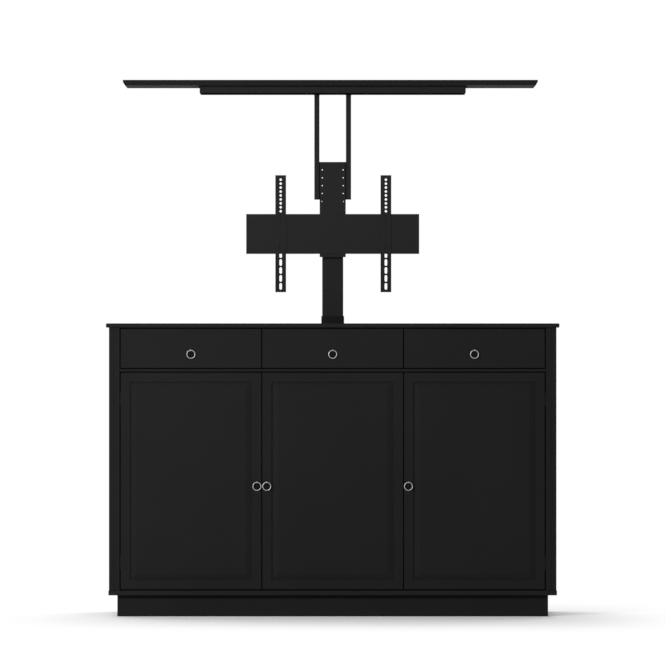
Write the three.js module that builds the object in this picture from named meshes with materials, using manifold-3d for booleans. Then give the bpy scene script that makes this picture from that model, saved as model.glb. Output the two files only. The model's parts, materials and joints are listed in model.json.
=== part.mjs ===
// Television lift cabinet, shown with its lift raised.
// Millimetres, +Z up, the front faces -Y. The origin is on the floor under the middle of the cabinet.
import * as THREE from 'three';
import { mergeVertices } from 'three/addons/utils/BufferGeometryUtils.js';
import Module from 'manifold-3d';

const wasm = await Module();
wasm.setup();

// Clearances that every piece shares
const seatGap = 0.3;
const cutOverrun = 5;

// Cabinet body
const cabinetWidth = 1700;
const cabinetDepth = 580;
const cabinetHeight = 1100;
const topThickness = 16;
const topOverhang = 11;
const topEdge = 2.5;
const panelThickness = 18;
const stileWidth = 40;
const boardEdge = 0.8;
const bottomThickness = 18;
const bottomOverhang = 2;
const bottomEdge = 1.5;
const plinthHeight = 80;
const plinthInset = 30.5;
const plinthBoard = 18;
const partitionThickness = 15;
const partitionSetback = 6;
const deckThickness = 10;
const shelfThickness = 18;
const shelfHeightShare = 0.5;
const cableSlotWidth = 120;
const cableSlotHeight = 60;
const cableSlotRise = 60;

// Doors and drawers, set flush between the stiles
const frontCount = 3;
const frontThickness = 20;
const frontGap = 3.5;
const doorBottomGap = 4;
const drawerTopGap = 4;
const drawerFrontHeight = 147.5;
const frontEdge = 1.2;
const frontBackGap = 1;

// The moulding cut into each door: a groove with a steep outer wall and a long inner bevel
const grooveInset = 35;
const grooveWall = 1.5;
const grooveFloor = 2.5;
const grooveBevel = 20;
const grooveDepth = 5;

// Drawer boxes
const drawerSideGap = 1;
const drawerBackGap = 6;
const drawerBoxDrop = 22.5;
const drawerWall = 12;
const drawerFloor = 6;

// Ring pulls
const ringMeanRadius = 15;
const ringWireRadius = 2;
const ringWireSides = 8;
const ringSteps = 24;
const eyeClearance = 0.9;
const eyeWall = 1.3;
const postEyeReach = 8.5;
const postEndWall = 1.6;
const postCrown = 1.2;
const postSides = 16;
const drawerPullDrop = 7.35;
const doorPullDrop = 5;
const doorPullInset = 16.5;

// Door hinges: an arm on the wall whose tip sits in a round pocket in the back of the door
const hingeCount = 2;
const hingeEndInset = 100;
const hingePocketRadius = 17.5;
const hingePocketFloor = 8;
const hingePocketInset = 22.5;
const hingePocketSides = 24;
const hingePlateThickness = 3;
const hingePlateDepth = 50;
const hingePlateHeight = 50;
const hingePlateSetback = 6;
const hingeArmHeight = 14;
const hingeArmThickness = 9;
const hingeTipWidth = 8;
const hingeTipOffset = 4;
const hingeElbow = 6;

// Lid
const lidSideBand = 67;
const lidFrontBand = 180;
const lidRearBand = 50;
const lidThickness = 20;
const lidLip = 7.5;
const lidBevel = 7.5;
const lidQuirk = 1.2;
const lidShift = -9;
const lidRunningGap = 2;
const lidProud = 2;
const stiffenerWidth = 1007;
const stiffenerThickness = 26.5;
const stiffenerFrontSetback = 78;
const stiffenerBackSetback = 44;
const stiffenerEdge = 1;
const lidPlateThickness = 6;
const lidPlateMargin = 6;

// Telescopic lifting column, three stages that share the travel
const stageStroke = 458.5;
const stageLength = 560;
const stageStagger = 3;
const stageWall = 2.5;
const stageRunningGap = 0.5;
const innerStageWidth = 80;
const innerStageDepth = 60;
const stageCorner = 6;
const stageCornerSteps = 3;
const columnRearGap = 60;
const basePlateEnd = 7.7;
const basePlateLip = 19;
const basePlateThickness = 6;
const baseEarRadius = 4.5;
const baseEarInset = 14;
const holeSteps = 6;
const motorStep = 2;
const motorHeight = 150;
const motorSides = 24;
const motorCrown = 4;
const gearboxHeight = 62;
const gearboxWidth = 66;
const gearboxEdge = 5;
const controlBoxWidth = 230;
const controlBoxDepth = 110;
const controlBoxHeight = 48;
const controlBoxEdge = 4;
const controlBoxGap = 192.7;
const controlRibCount = 7;
const controlRibPitch = 22;
const controlRibWidth = 4;
const controlRibDepth = 2;
const inletWidth = 28;
const inletHeight = 20;
const inletDepth = 16;
const inletRise = 22;
const inletInset = 38;
const leadSocketCount = 3;
const leadSocketWidth = 13;
const leadSocketHeight = 10;
const leadSocketDepth = 9;
const leadSocketPitch = 24;
const leadSocketInset = 86;
const headPlateThickness = 5;
const headWebHeight = 90;
const headWebThickness = 5;

// Steel spine, screen plate and screen rails
const spineWidth = 99;
const spineHeight = 361.7;
const spineSheet = 2.5;
const spineFlange = 25;
const spineTopAboveColumn = 126.5;
const spineColumnGap = 15;
const spineHoleRadius = 2.3;
const spineHoleInset = 9.8;
const spineHolePitch = 30;
const spineHoleCount = 5;
const spineHoleDrop = 30;
const screenPlateWidth = 657.4;
const screenPlateHeight = 151.5;
const screenPlateSheet = 4;
const screenPlateLip = 12;
const screenPlateRise = 12.2;
const screenPlateClearance = 2;
const railPitch = 400;
const railShift = 2.3;
const railWidth = 40.5;
const railHeight = 444.6;
const railSheet = 2.5;
const railFlange = 14;
const railRise = -133.4;
const railHoleRadius = 4.75;
const railHolePitch = 15;
const railHoleDrop = 17;
const railSlotWidth = 10;
const railSlotLength = 25;
const railSlotPitch = 30.2;
const railSlotRise = 9.6;
const railBlank = 70;

// Lid arms, angle bars beside the spine with a flat foot under the lid plate
const armGap = 0.9;
const armWidth = 19.4;
const armDepth = 25;
const armSheet = 2.5;
const armBelowHead = 17;
const armFootWidth = 23;
const armFootThickness = 3;
const armFootDepth = 60;

// Places worked out from the sizes above
const halfWidth = cabinetWidth / 2 - topOverhang;
const bodyFront = -cabinetDepth / 2 + topOverhang;
const bodyBack = cabinetDepth / 2 - topOverhang;
const topUnderside = cabinetHeight - topThickness;
const bottomTop = plinthHeight + bottomThickness;
const panelInside = halfWidth - panelThickness;
const openingHalf = halfWidth - stileWidth;
const lidWidth = cabinetWidth - 2 * lidSideBand;
const lidDepth = cabinetDepth - lidFrontBand - lidRearBand;
const lidBack = cabinetDepth / 2 - lidRearBand;
const lidFront = lidBack - lidDepth;
const partitionBack = lidFront - lidRunningGap - partitionSetback;
const partitionFront = partitionBack - partitionThickness;
const backPanelFront = bodyBack - panelThickness;
const drawerTop = topUnderside - drawerTopGap;
const drawerBottom = drawerTop - drawerFrontHeight;
const deckTop = drawerBottom - frontGap;
const deckBottom = deckTop - deckThickness;
const doorBottom = bottomTop + doorBottomGap;
const doorTop = deckBottom - frontGap;
const frontWidth = (2 * openingHalf - (frontCount + 1) * frontGap) / frontCount;
const frontPitch = frontWidth + frontGap;
const frontRear = bodyFront + frontThickness;
const dividerFront = frontRear + frontBackGap;
const drawerPullHeight = (drawerBottom + drawerTop) / 2 - drawerPullDrop;
const doorPullHeight = (doorBottom + doorTop) / 2 - doorPullDrop;
const postEyeRadius = ringWireRadius + eyeClearance;
const postRadius = postEyeRadius + eyeWall;
const postLength = postEyeReach + postEyeRadius + postEndWall;
const hingePocketDepth = frontThickness - hingePocketFloor;

const stageTravel = 2 * stageStroke;
const columnBack = backPanelFront - columnRearGap;
const middleStageWidth = innerStageWidth + 2 * (stageRunningGap + stageWall);
const middleStageDepth = innerStageDepth + 2 * (stageRunningGap + stageWall);
const outerStageWidth = middleStageWidth + 2 * (stageRunningGap + stageWall);
const outerStageDepth = middleStageDepth + 2 * (stageRunningGap + stageWall);
const columnY = columnBack - outerStageDepth / 2;
const motorLeft = outerStageWidth / 2 + seatGap;
const motorMiddle = motorLeft + gearboxWidth / 2;
const motorRadius = gearboxWidth / 2 - motorStep;
const basePlateWidth = 2 * (motorLeft + gearboxWidth + basePlateEnd);
const basePlateDepth = outerStageDepth + 2 * basePlateLip;
const basePlateTop = bottomTop + seatGap + basePlateThickness;
const controlBoxMiddle = motorLeft + gearboxWidth + controlBoxGap + controlBoxWidth / 2;
const outerStageBottom = basePlateTop + seatGap;
const middleStageBottom = outerStageBottom + stageStagger + stageStroke;
const innerStageBottom = outerStageBottom + 2 * stageStagger + stageTravel;
const innerStageTop = innerStageBottom + stageLength;
const headBottom = innerStageTop + seatGap;
const headTop = headBottom + headPlateThickness;
const spineTop = innerStageTop + spineTopAboveColumn;
const spineBottom = spineTop - spineHeight;
const spineBack = columnY - innerStageDepth / 2 - spineColumnGap;
const spineFront = spineBack - spineFlange;
const screenPlateBottom = spineBottom + screenPlateRise;
const screenPlateTop = screenPlateBottom + screenPlateHeight;
const screenPlateBack = spineFront - seatGap;
const screenPlateFront = screenPlateBack - screenPlateSheet;
const railBack = screenPlateFront - seatGap;
const railFront = railBack - railSheet;
const railBottom = spineBottom + railRise;
const railTop = railBottom + railHeight;
const railZone = (railHeight - railBlank) / 2;
const railHoleCount = 1 + Math.floor((railZone - railHoleDrop - railHoleRadius) / railHolePitch);
const railSlotCount = 1 + Math.floor((railZone - railSlotRise - railSlotLength) / railSlotPitch);
const lidTop = cabinetHeight + lidProud + stageTravel;
const lidBottom = lidTop - lidThickness;
const stiffenerTop = lidBottom - seatGap;
const stiffenerBottom = stiffenerTop - stiffenerThickness;
const lidPlateTop = stiffenerBottom + lidPlateThickness;
const armTop = stiffenerBottom - seatGap;
const armBottom = headBottom - armBelowHead;

// Materials
function finish(colour, roughness, metalness) {
  return new THREE.MeshStandardMaterial({ color: colour, roughness, metalness });
}
const paint = finish(0x242424, 0.5, 0);
const insidePaint = finish(0x2b2b2b, 0.7, 0);
const steel = finish(0x282828, 0.45, 0.6);
const darkSteel = finish(0x101010, 0.6, 0.5);
const brightMetal = finish(0xb4b4b4, 0.25, 1);
const hingeMetal = finish(0x9a9a9a, 0.35, 1);
const motorPlastic = finish(0x1c1c1c, 0.55, 0);

const cabinet = new THREE.Group();

function addNode(name, geometry, material) {
  const mesh = new THREE.Mesh(geometry, material);
  mesh.name = name;
  cabinet.add(mesh);
}

// Solids and booleans
function toSolid(geometry) {
  const bare = geometry.clone();
  bare.deleteAttribute('normal');
  bare.deleteAttribute('uv');
  const merged = mergeVertices(bare);
  const vertProperties = new Float32Array(merged.attributes.position.array);
  const triVerts = new Uint32Array(merged.index.array);
  return new wasm.Manifold(new wasm.Mesh({ numProp: 3, vertProperties, triVerts }));
}

function toGeometry(solid) {
  const mesh = solid.getMesh();
  const geometry = new THREE.BufferGeometry();
  geometry.setAttribute('position', new THREE.BufferAttribute(new Float32Array(mesh.vertProperties), 3));
  geometry.setIndex(new THREE.BufferAttribute(new Uint32Array(mesh.triVerts), 1));
  geometry.computeVertexNormals();
  return geometry;
}

function cut(geometry, ...tools) {
  let solid = toSolid(geometry);
  for (const tool of tools) {
    solid = solid.subtract(toSolid(tool));
  }
  return toGeometry(solid);
}

function join(geometry, ...others) {
  let solid = toSolid(geometry);
  for (const other of others) {
    solid = solid.add(toSolid(other));
  }
  return toGeometry(solid);
}

// Plain block between two values along each axis
function block([x0, x1], [y0, y1], [z0, z1]) {
  const geometry = new THREE.BoxGeometry(x1 - x0, y1 - y0, z1 - z0);
  geometry.translate((x0 + x1) / 2, (y0 + y1) / 2, (z0 + z1) / 2);
  return geometry;
}

// Rectangle whose corners are cut off, centred on the origin
function trimmedRectangle(width, height, trim) {
  const x = width / 2;
  const y = height / 2;
  const outline = [
    [-x + trim, -y], [x - trim, -y], [x, -y + trim], [x, y - trim],
    [x - trim, y], [-x + trim, y], [-x, y - trim], [-x, -y + trim],
  ];
  return new THREE.Shape(outline.map(([a, b]) => new THREE.Vector2(a, b)));
}

// Board with all its edges eased by a small flat
function board([x0, x1], [y0, y1], [z0, z1], edge = boardEdge) {
  const geometry = new THREE.ExtrudeGeometry(trimmedRectangle(x1 - x0, y1 - y0, edge), {
    depth: z1 - z0 - 2 * edge,
    bevelSize: edge,
    bevelThickness: edge,
    bevelOffset: -edge,
    bevelSegments: 1,
  });
  geometry.translate((x0 + x1) / 2, (y0 + y1) / 2, z0 + edge);
  return geometry;
}

// A profile of [inset, depth] points carried round a rectangle in the front plane, mitred at its corners
function mitredRing(profile, [x0, x1], [z0, z1], frontY) {
  const rows = profile.map(([inset, depth]) => [
    [x0 + inset, frontY + depth, z0 + inset],
    [x1 - inset, frontY + depth, z0 + inset],
    [x1 - inset, frontY + depth, z1 - inset],
    [x0 + inset, frontY + depth, z1 - inset],
  ]);
  const positions = rows.flat(2);
  const index = [];
  rows.forEach((row, r) => {
    const start = r * row.length;
    const nextStart = ((r + 1) % rows.length) * row.length;
    row.forEach((point, corner) => {
      const nextCorner = (corner + 1) % row.length;
      const [a, b] = [start + corner, start + nextCorner];
      const [c, d] = [nextStart + nextCorner, nextStart + corner];
      index.push(a, c, b, a, d, c);
    });
  });
  const geometry = new THREE.BufferGeometry();
  geometry.setAttribute('position', new THREE.Float32BufferAttribute(positions, 3));
  geometry.setIndex(index);
  return geometry;
}

// Round bar between two places along one axis: 'x', 'y' or 'z'
function roundBar(axis, radius, [from, to], [across, up], sides) {
  const geometry = new THREE.CylinderGeometry(radius, radius, to - from, sides);
  const middle = (from + to) / 2;
  if (axis === 'x') {
    geometry.rotateZ(-Math.PI / 2);
    geometry.translate(middle, across, up);
  } else if (axis === 'y') {
    geometry.translate(across, middle, up);
  } else {
    geometry.rotateX(Math.PI / 2);
    geometry.translate(across, up, middle);
  }
  return geometry;
}

// Upright sheet between two depths, from a shape drawn in x and z
function uprightSheet(shape, [y0, y1], steps = holeSteps) {
  const geometry = new THREE.ExtrudeGeometry(shape, {
    depth: y1 - y0,
    bevelEnabled: false,
    curveSegments: steps,
  });
  geometry.rotateX(Math.PI / 2);
  geometry.translate(0, y1, 0);
  return geometry;
}

function rectangleShape([x0, x1], [z0, z1]) {
  const shape = new THREE.Shape();
  shape.moveTo(x0, z0);
  shape.lineTo(x1, z0);
  shape.lineTo(x1, z1);
  shape.lineTo(x0, z1);
  shape.closePath();
  return shape;
}

function roundHole(x, z, radius) {
  const hole = new THREE.Path();
  hole.absarc(x, z, radius, 0, 2 * Math.PI, true);
  return hole;
}

function slotHole(x, z, width, length) {
  const radius = width / 2;
  const reach = length / 2 - radius;
  const hole = new THREE.Path();
  hole.absarc(x, z + reach, radius, 0, Math.PI, false);
  hole.absarc(x, z - reach, radius, Math.PI, 2 * Math.PI, false);
  hole.closePath();
  return hole;
}

// Centre of each door and drawer, from left to right
const frontNames = ['left', 'middle', 'right'];
const frontCentres = frontNames.map((name, i) => (i - (frontCount - 1) / 2) * frontPitch);

// The clear space behind a door or drawer, between the divider or lining faces
function compartment(i) {
  const centre = frontCentres[i];
  const left = i === 0 ? -openingHalf : centre - frontPitch / 2 + panelThickness / 2;
  const right = i === frontCount - 1 ? openingHalf : centre + frontPitch / 2 - panelThickness / 2;
  return [left, right];
}

// Plinth: a frame with a member across its middle
function buildPlinth() {
  const x = halfWidth - plinthInset;
  const front = bodyFront + plinthInset;
  const back = bodyBack - plinthInset;
  const height = [0, plinthHeight - seatGap];
  const deep = [front + plinthBoard, back - plinthBoard];
  const tall = [-cutOverrun, plinthHeight + cutOverrun];
  const leftBay = block([-x + plinthBoard, -plinthBoard / 2], deep, tall);
  const rightBay = block([plinthBoard / 2, x - plinthBoard], deep, tall);
  const frame = cut(board([-x, x], [front, back], height), leftBay, rightBay);
  addNode('plinth_frame', frame, paint);
}

function buildCarcass() {
  const reach = halfWidth + bottomOverhang;
  const depth = [bodyFront - bottomOverhang, bodyBack + bottomOverhang];
  addNode('bottom_board', board([-reach, reach], depth, [plinthHeight, bottomTop], bottomEdge), paint);

  const height = [bottomTop + seatGap, topUnderside - seatGap];
  const between = [-panelInside + seatGap, panelInside - seatGap];
  for (const [side, sign] of [['left', -1], ['right', 1]]) {
    const panel = [sign * panelInside, sign * halfWidth].sort((a, b) => a - b);
    const lining = [sign * openingHalf, sign * (panelInside - seatGap)].sort((a, b) => a - b);
    addNode(`side_panel_${side}`, board(panel, [bodyFront, bodyBack], height), paint);
    addNode(`side_lining_${side}`, board(lining, [bodyFront, partitionFront - seatGap], height), paint);

    const middle = sign * frontPitch / 2;
    const divider = [middle - panelThickness / 2, middle + panelThickness / 2];
    const divideDepth = [dividerFront, partitionFront - seatGap];
    const low = [bottomTop + seatGap, deckBottom - seatGap];
    const high = [deckTop + seatGap, topUnderside - seatGap];
    addNode(`cupboard_divider_${side}`, board(divider, divideDepth, low), insidePaint);
    addNode(`drawer_divider_${side}`, board(divider, divideDepth, high), insidePaint);
  }

  const deckSpan = [-openingHalf + seatGap, openingHalf - seatGap];
  const deckDepth = [bodyFront, partitionFront - seatGap];
  addNode('drawer_deck', board(deckSpan, deckDepth, [deckBottom, deckTop]), paint);
  addNode('bay_partition', board(between, [partitionFront, partitionBack], height), insidePaint);

  const cableSlot = new THREE.Shape();
  const slotMiddle = bottomTop + cableSlotRise + cableSlotHeight / 2;
  const slotReach = cableSlotWidth / 2 - cableSlotHeight / 2;
  cableSlot.absarc(slotReach, slotMiddle, cableSlotHeight / 2, -Math.PI / 2, Math.PI / 2, false);
  cableSlot.absarc(-slotReach, slotMiddle, cableSlotHeight / 2, Math.PI / 2, 1.5 * Math.PI, false);
  const slotTool = uprightSheet(cableSlot, [backPanelFront - cutOverrun, bodyBack + cutOverrun]);
  const backPanel = board(between, [backPanelFront, bodyBack], height);
  addNode('back_panel', cut(backPanel, slotTool), paint);
}

function buildTop() {
  const x = cabinetWidth / 2;
  const y = cabinetDepth / 2;
  const slab = board([-x, x], [-y, y], [topUnderside, cabinetHeight], topEdge);
  const openHalf = lidWidth / 2 + lidRunningGap;
  const opening = block(
    [lidShift - openHalf, lidShift + openHalf],
    [lidFront - lidRunningGap, lidBack + lidRunningGap],
    [topUnderside - cutOverrun, cabinetHeight + cutOverrun],
  );
  addNode('top_board', cut(slab, opening), paint);
}

function buildShelves() {
  const middle = bottomTop + (deckBottom - bottomTop) * shelfHeightShare;
  const height = [middle - shelfThickness / 2, middle + shelfThickness / 2];
  frontNames.forEach((name, i) => {
    const [left, right] = compartment(i);
    const span = [left + seatGap, right - seatGap];
    addNode(`shelf_${name}`, board(span, [dividerFront, partitionFront - seatGap], height), insidePaint);
  });
}

// Doors: a raised field inside a flat frame, with hinge pockets in the back
function doorHingeSide(i) {
  return i === 0 ? -1 : 1;
}

function hingeHeights() {
  const first = doorBottom + hingeEndInset;
  const step = (doorTop - doorBottom - 2 * hingeEndInset) / (hingeCount - 1);
  return Array.from({ length: hingeCount }, (unused, k) => first + k * step);
}

function buildDoor(i) {
  const centre = frontCentres[i];
  const span = [centre - frontWidth / 2, centre + frontWidth / 2];
  const height = [doorBottom, doorTop];
  const grooveLow = grooveInset + grooveWall;
  const grooveRise = grooveLow + grooveFloor;
  const profile = [
    [grooveInset, -cutOverrun],
    [grooveInset, 0],
    [grooveLow, grooveDepth],
    [grooveRise, grooveDepth],
    [grooveRise + grooveBevel, 0],
    [grooveRise + grooveBevel, -cutOverrun],
  ];
  const moulding = mitredRing(profile, span, height, bodyFront);
  const pocketX = centre + doorHingeSide(i) * (frontWidth / 2 - hingePocketInset);
  const pocketDepth = [frontRear - hingePocketDepth, frontRear + cutOverrun];
  const pockets = hingeHeights().map((z) =>
    roundBar('y', hingePocketRadius, pocketDepth, [pocketX, z], hingePocketSides));
  const slab = board(span, [bodyFront, frontRear], height, frontEdge);
  addNode(`door_${frontNames[i]}`, cut(slab, moulding, ...pockets), paint);
}

// Hinge arm: a plate on the wall and a cranked arm that reaches into the door's pocket
function buildHingeArms(i) {
  const side = doorHingeSide(i);
  const doorEdge = frontCentres[i] + side * frontWidth / 2;
  const wall = side < 0 ? compartment(i)[0] : compartment(i)[1];
  const inward = -side;
  const wallFace = wall + inward * seatGap;
  const plateFace = wallFace + inward * hingePlateThickness;
  const armFace = plateFace + inward * hingeArmThickness;
  const tipMiddle = doorEdge + inward * (hingePocketInset + hingeTipOffset);
  const tipOuter = tipMiddle - inward * hingeTipWidth / 2;
  const tipInner = tipMiddle + inward * hingeTipWidth / 2;
  const plateStart = frontRear + hingePlateSetback;
  const tipFront = frontRear - hingePocketDepth + seatGap;
  const plan = [
    [plateFace - inward * seatGap, plateStart],
    [tipOuter, frontRear + frontBackGap],
    [tipOuter, tipFront],
    [tipInner, tipFront],
    [tipInner, frontRear + hingeElbow],
    [armFace, plateStart + hingeElbow * 2],
    [armFace, plateStart + hingePlateDepth],
    [plateFace - inward * seatGap, plateStart + hingePlateDepth],
  ];
  const outline = new THREE.Shape(plan.map(([x, y]) => new THREE.Vector2(x, y)));
  hingeHeights().forEach((z, k) => {
    const arm = new THREE.ExtrudeGeometry(outline, { depth: hingeArmHeight, bevelEnabled: false });
    arm.translate(0, 0, z - hingeArmHeight / 2);
    const plateSpan = [wallFace, plateFace].sort((a, b) => a - b);
    const plateHeight = [z - hingePlateHeight / 2, z + hingePlateHeight / 2];
    const plate = block(plateSpan, [plateStart, plateStart + hingePlateDepth], plateHeight);
    const end = k === 0 ? 'low' : 'high';
    addNode(`hinge_arm_${frontNames[i]}_${end}`, join(plate, arm), hingeMetal);
  });
}

// Drawers: a plain front and an open box behind it that runs on the deck
function buildDrawer(i) {
  const centre = frontCentres[i];
  const span = [centre - frontWidth / 2, centre + frontWidth / 2];
  const front = board(span, [bodyFront, frontRear], [drawerBottom, drawerTop], frontEdge);
  addNode(`drawer_front_${frontNames[i]}`, front, paint);

  const [left, right] = compartment(i);
  const boxSpan = [left + drawerSideGap, right - drawerSideGap];
  const boxDepth = [frontRear + seatGap, partitionFront - drawerBackGap];
  const boxBottom = deckTop + seatGap;
  const boxTop = boxBottom + drawerFrontHeight - drawerBoxDrop;
  const hollow = block(
    [boxSpan[0] + drawerWall, boxSpan[1] - drawerWall],
    [boxDepth[0] + drawerWall, boxDepth[1] - drawerWall],
    [boxBottom + drawerFloor, boxTop + cutOverrun],
  );
  const box = cut(board(boxSpan, boxDepth, [boxBottom, boxTop]), hollow);
  addNode(`drawer_box_${frontNames[i]}`, box, insidePaint);
}

// Ring pull: a round post with an eye across its end, and a ring hanging through the eye
function buildPull(name, x, z) {
  const start = bodyFront - seatGap;
  const stem = roundBar('y', postRadius, [start - postLength + postCrown, start], [x, z], postSides);
  const crown = new THREE.CylinderGeometry(postRadius, postRadius - postCrown, postCrown, postSides);
  crown.translate(x, start - postLength + postCrown / 2, z);
  const eyeY = bodyFront - postEyeReach;
  const eyeSpan = [x - postRadius - cutOverrun, x + postRadius + cutOverrun];
  const eye = roundBar('x', postEyeRadius, eyeSpan, [eyeY, z], postSides);
  addNode(`pull_post_${name}`, cut(join(stem, crown), eye), brightMetal);

  const ring = new THREE.TorusGeometry(ringMeanRadius, ringWireRadius, ringWireSides, ringSteps);
  ring.rotateX(Math.PI / 2);
  ring.translate(x, eyeY, z - ringMeanRadius);
  addNode(`pull_ring_${name}`, ring, brightMetal);
}

function buildPulls() {
  frontNames.forEach((name, i) => {
    buildPull(`drawer_${name}`, frontCentres[i], drawerPullHeight);
    const openSide = -doorHingeSide(i);
    const x = frontCentres[i] + openSide * (frontWidth / 2 - doorPullInset);
    buildPull(`door_${name}`, x, doorPullHeight);
  });
}

// Telescopic column: rounded square tubes, one inside the next
function roundedRectangle(width, depth, corner) {
  const x = width / 2 - corner;
  const y = depth / 2 - corner;
  const shape = new THREE.Shape();
  shape.absarc(x, y, corner, 0, Math.PI / 2, false);
  shape.absarc(-x, y, corner, Math.PI / 2, Math.PI, false);
  shape.absarc(-x, -y, corner, Math.PI, 1.5 * Math.PI, false);
  shape.absarc(x, -y, corner, 1.5 * Math.PI, 2 * Math.PI, false);
  return shape;
}

function stageTube(width, depth, bottom) {
  const shape = roundedRectangle(width, depth, stageCorner);
  const bore = roundedRectangle(width - 2 * stageWall, depth - 2 * stageWall, stageCorner - stageWall);
  shape.holes.push(bore);
  const geometry = new THREE.ExtrudeGeometry(shape, {
    depth: stageLength,
    bevelEnabled: false,
    curveSegments: stageCornerSteps,
  });
  geometry.translate(0, columnY, bottom);
  return geometry;
}

function buildColumn() {
  addNode('column_outer', stageTube(outerStageWidth, outerStageDepth, outerStageBottom), steel);
  addNode('column_middle', stageTube(middleStageWidth, middleStageDepth, middleStageBottom), steel);
  addNode('column_inner', stageTube(innerStageWidth, innerStageDepth, innerStageBottom), steel);

  const earX = basePlateWidth / 2 - baseEarInset;
  const earY = basePlateDepth / 2 - baseEarInset;
  const plateHeight = [bottomTop + seatGap, basePlateTop];
  const through = [plateHeight[0] - cutOverrun, plateHeight[1] + cutOverrun];
  const holes = [];
  for (const sx of [-1, 1]) {
    for (const sy of [-1, 1]) {
      const place = [sx * earX, columnY + sy * earY];
      holes.push(roundBar('z', baseEarRadius, through, place, 2 * holeSteps));
    }
  }
  const plateSpan = [-basePlateWidth / 2, basePlateWidth / 2];
  const plateDepth = [columnY - basePlateDepth / 2, columnY + basePlateDepth / 2];
  addNode('lift_base', cut(board(plateSpan, plateDepth, plateHeight), ...holes), steel);
}

// Gear motor beside the foot of the column
function buildMotor() {
  const span = [motorLeft, motorLeft + gearboxWidth];
  const depth = [columnY - gearboxWidth / 2, columnY + gearboxWidth / 2];
  const bottom = basePlateTop + seatGap;
  const gearbox = board(span, depth, [bottom, bottom + gearboxHeight], gearboxEdge);
  const place = [motorMiddle, columnY];
  const canTop = bottom + motorHeight;
  const can = roundBar('z', motorRadius, [bottom + gearboxHeight / 2, canTop], place, motorSides);
  const crown = new THREE.CylinderGeometry(motorRadius - motorCrown, motorRadius, motorCrown, motorSides);
  crown.rotateX(Math.PI / 2);
  crown.translate(place[0], place[1], canTop + motorCrown / 2);
  addNode('lift_motor', join(gearbox, can, crown), motorPlastic);
}

// Control box on the floor of the bay, ribbed on top, with a mains inlet and lead sockets in its front
function buildControlBox() {
  const span = [controlBoxMiddle - controlBoxWidth / 2, controlBoxMiddle + controlBoxWidth / 2];
  const depth = [columnY - controlBoxDepth / 2, columnY + controlBoxDepth / 2];
  const bottom = bottomTop + seatGap;
  const top = bottom + controlBoxHeight;
  const ribs = [];
  for (let k = 0; k < controlRibCount; k += 1) {
    const x = controlBoxMiddle + (k - (controlRibCount - 1) / 2) * controlRibPitch;
    const ribSpan = [x - controlRibWidth / 2, x + controlRibWidth / 2];
    const ribDepth = [depth[0] + controlRibPitch, depth[1] - controlRibPitch];
    ribs.push(block(ribSpan, ribDepth, [top - controlRibDepth, top + cutOverrun]));
  }
  const middle = bottom + inletRise;
  const inletSpan = [span[1] - inletInset - inletWidth, span[1] - inletInset];
  const inletFaces = [middle - inletHeight / 2, middle + inletHeight / 2];
  const inlet = block(inletSpan, [depth[0] - cutOverrun, depth[0] + inletDepth], inletFaces);
  const sockets = [];
  for (let k = 0; k < leadSocketCount; k += 1) {
    const x = span[1] - leadSocketInset - leadSocketWidth / 2 - k * leadSocketPitch;
    const socketSpan = [x - leadSocketWidth / 2, x + leadSocketWidth / 2];
    const socketFaces = [middle - leadSocketHeight / 2, middle + leadSocketHeight / 2];
    sockets.push(block(socketSpan, [depth[0] - cutOverrun, depth[0] + leadSocketDepth], socketFaces));
  }
  const shell = board(span, depth, [bottom, top], controlBoxEdge);
  addNode('control_box', cut(shell, ...ribs, inlet, ...sockets), motorPlastic);
}

// Heights of the bolt holes that the spine and the head of the column share
function spineHoleHeights() {
  const first = spineTop - spineHoleDrop;
  return Array.from({ length: spineHoleCount }, (unused, k) => first - k * spineHolePitch);
}

// Head of the column: a cap plate with a web that carries the spine between its flanges
function buildHead() {
  const x = spineWidth / 2 - spineSheet - seatGap;
  const webFront = spineFront + spineSheet + seatGap;
  const webBack = webFront + headWebThickness;
  const cap = block([-x, x], [webFront, columnY + innerStageDepth / 2], [headBottom, headTop]);
  const web = block([-x, x], [webFront, webBack], [headBottom, headBottom + headWebHeight]);
  const holes = spineHoleHeights().flatMap((z) => [-1, 1].map((sign) => {
    const at = [sign * (spineWidth / 2 - spineHoleInset), z];
    return roundBar('y', spineHoleRadius, [spineFront, webBack + cutOverrun], at, 2 * holeSteps);
  }));
  addNode('column_head', cut(join(cap, web), ...holes), steel);
}

// Spine: a folded channel with a row of holes down each side of its web
function buildSpine() {
  const half = spineWidth / 2;
  const shape = rectangleShape([-half, half], [spineBottom, spineTop]);
  for (const z of spineHoleHeights()) {
    for (const sign of [-1, 1]) {
      shape.holes.push(roundHole(sign * (half - spineHoleInset), z, spineHoleRadius));
    }
  }
  const web = uprightSheet(shape, [spineFront, spineFront + spineSheet]);
  const flangeDepth = [spineFront, spineBack];
  const height = [spineBottom, spineTop];
  const left = block([-half, -half + spineSheet], flangeDepth, height);
  const right = block([half - spineSheet, half], flangeDepth, height);
  addNode('spine_channel', join(web, left, right), steel);
}

// Screen plate: a wide sheet with its upper and lower edges folded back, clear of the spine
function buildScreenPlate() {
  const half = screenPlateWidth / 2;
  const depth = [screenPlateFront, screenPlateBack];
  const lipDepth = [screenPlateFront, screenPlateBack + screenPlateLip];
  const sheet = block([-half, half], depth, [screenPlateBottom, screenPlateTop]);
  const lower = block([-half, half], lipDepth, [screenPlateBottom, screenPlateBottom + screenPlateSheet]);
  const upper = block([-half, half], lipDepth, [screenPlateTop - screenPlateSheet, screenPlateTop]);
  const clear = spineWidth / 2 + armGap + armWidth + screenPlateClearance;
  const notch = block(
    [-clear, clear],
    [screenPlateBack, screenPlateBack + screenPlateLip + cutOverrun],
    [screenPlateBottom - cutOverrun, screenPlateTop + cutOverrun],
  );
  addNode('screen_plate', cut(join(sheet, lower, upper), notch), steel);
}

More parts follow.
